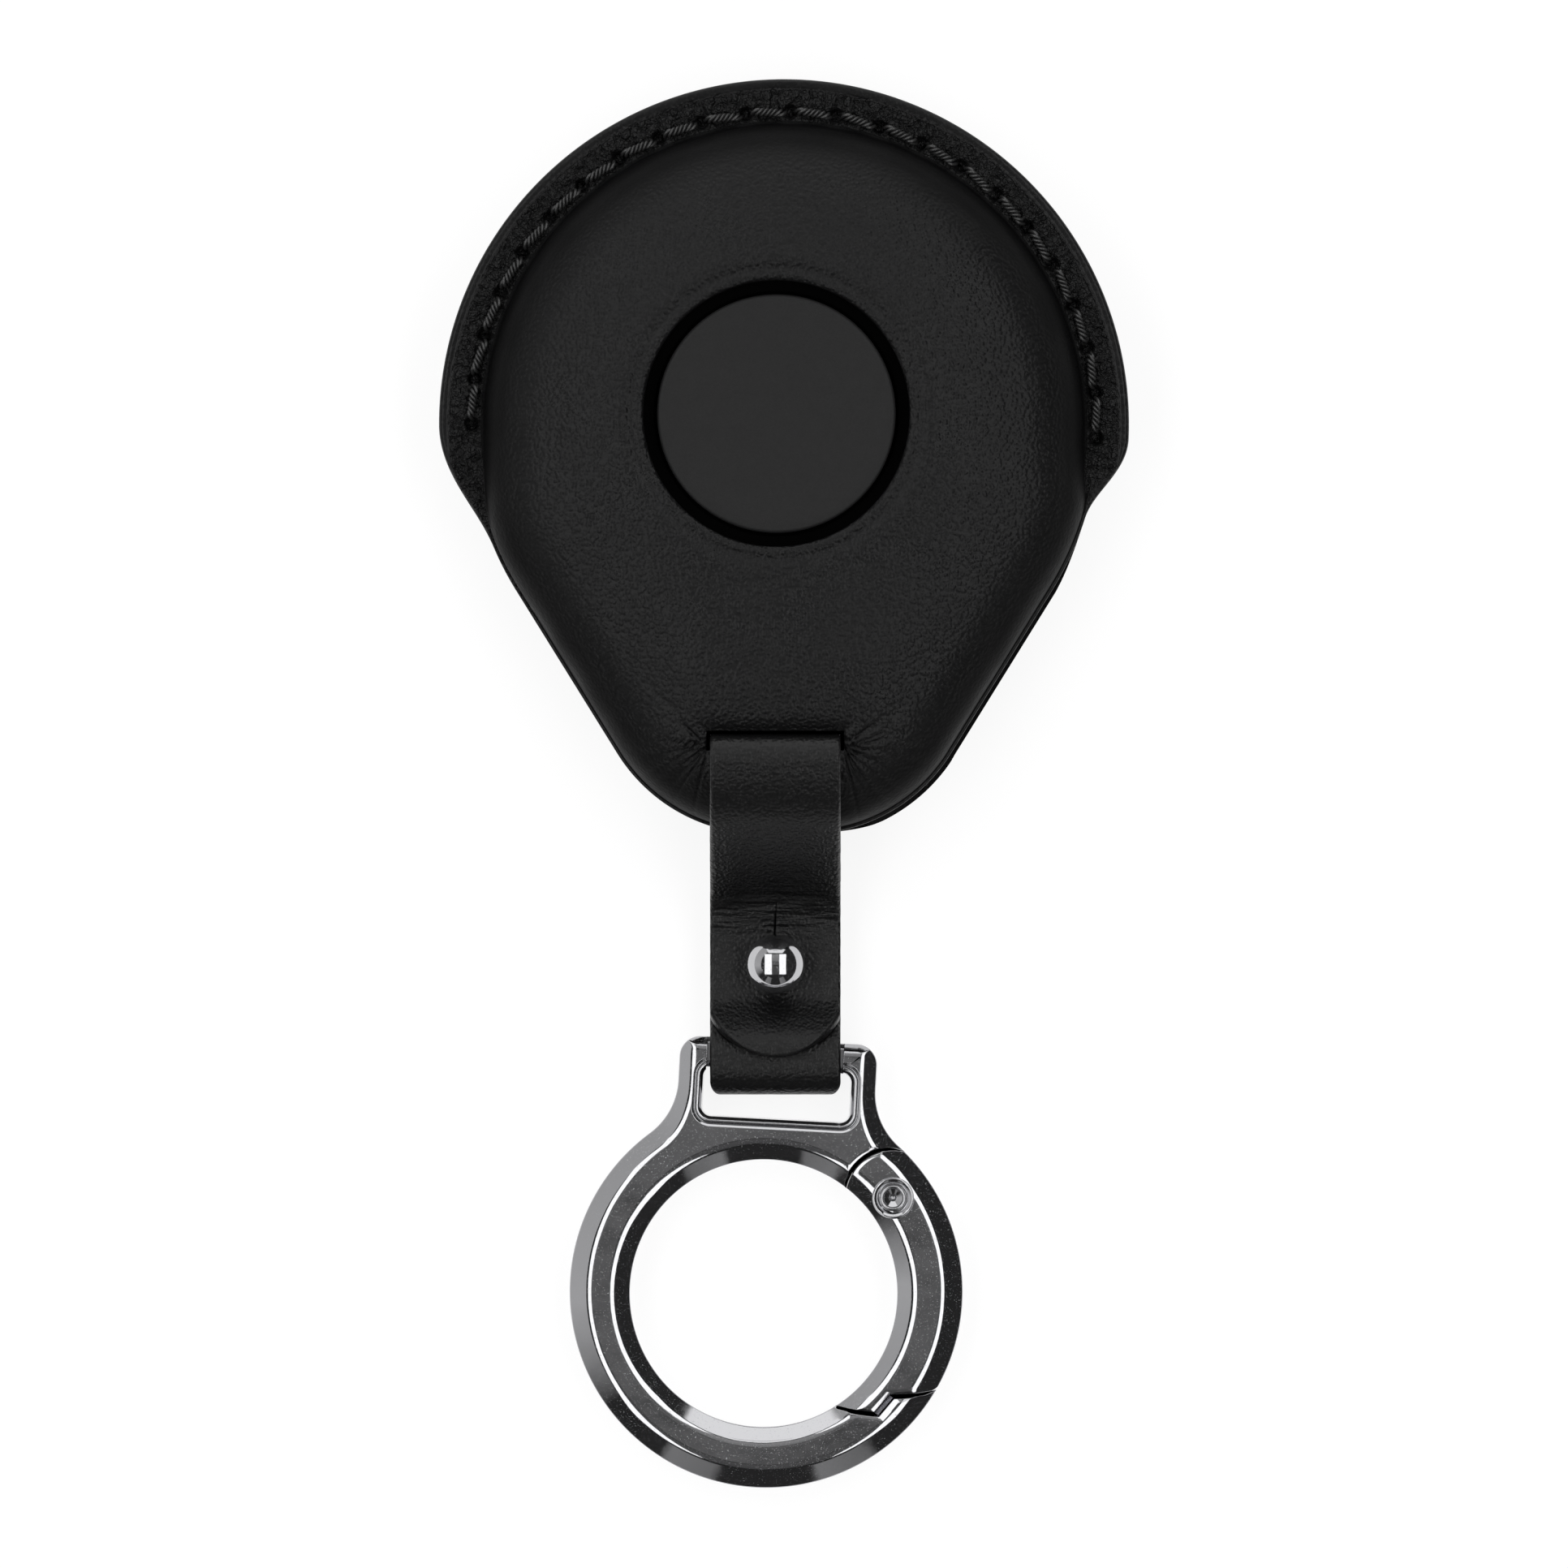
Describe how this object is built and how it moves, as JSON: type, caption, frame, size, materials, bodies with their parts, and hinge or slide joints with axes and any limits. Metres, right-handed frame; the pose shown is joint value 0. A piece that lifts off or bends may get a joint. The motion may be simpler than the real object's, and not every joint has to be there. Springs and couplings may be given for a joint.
{
  "type": "key fob cover",
  "caption": "Moulded leather cover stitched round a car key fob, with a strap, a ball stud and a snap ring whose gate turns on a pin.",
  "frame": {"origin": "middle of the part's length and width, on the flat that it lies on", "axes": "+Z out of the front of the case, +Y from the ring towards the stitched top of the case"},
  "size_m": [0.0634, 0.1296, 0.0184],
  "materials": {
    "shell_leather": "black fine-grained leather, moulded, semi-matt",
    "strap_leather": "black smooth leather with painted edges",
    "lining_cloth": "black microfibre",
    "thread": "black twisted polyester thread",
    "fob_plastic": "black fine-textured moulding",
    "button_plastic": "dark grey fine-textured moulding",
    "pad_rubber": "grey silicone rubber",
    "switch_plastic": "small tact switch",
    "board_laminate": "green solder mask",
    "cell_steel": "bright nickel-plated steel",
    "gunmetal_plate": "polished gunmetal plating",
    "spring_steel": "drawn spring wire"
  },
  "bodies": {
    "case": {"front_shell": "shell_leather", "back_shell": "shell_leather", "front_lining": "lining_cloth", "back_lining": "lining_cloth", "seam_thread": "thread", "fob_upper_case": "fob_plastic", "fob_lower_case": "fob_plastic", "fob_pad": "pad_rubber", "fob_switch": "switch_plastic", "fob_board": "board_laminate", "fob_cell": "cell_steel", "strap_loop": "strap_leather"},
    "button": {"fob_button": "button_plastic"},
    "strap": {"strap_tail": "strap_leather", "strap_tab": "strap_leather", "stud_head": "gunmetal_plate", "stud_screw": "gunmetal_plate"},
    "ring": {"ring_frame": "gunmetal_plate"},
    "gate": {"gate": "gunmetal_plate", "gate_pin": "gunmetal_plate", "gate_spring": "spring_steel"}
  },
  "joints": [
    {"name": "button_press", "type": "slide", "parent": "case", "child": "button", "axis": [0, 0, -1], "range_m": [0, 0.0005], "stiffness_N_per_m": 250, "springref_m": -0.0004, "deforming": ["fob_pad"]},
    {"name": "strap_flex", "type": "hinge", "parent": "case", "child": "strap", "pos_m": [-0.0008, -0.01308, 0.00205], "axis": [-1, 0, 0], "range_deg": [-45, 45]},
    {"name": "ring_swing", "type": "hinge", "parent": "strap", "child": "ring", "pos_m": [-0.0005, -0.02498, 0.00275], "axis": [-0.9986, 0.0523, 0], "range_deg": [-90, 90]},
    {"name": "gate_open", "type": "hinge", "parent": "ring", "child": "gate", "pos_m": [0.01003, -0.0381, 0.00275], "axis": [0, 0, -1], "range_deg": [0, 28], "stiffness_Nm_per_rad": 0.05, "springref_deg": -34.38}
  ]
}
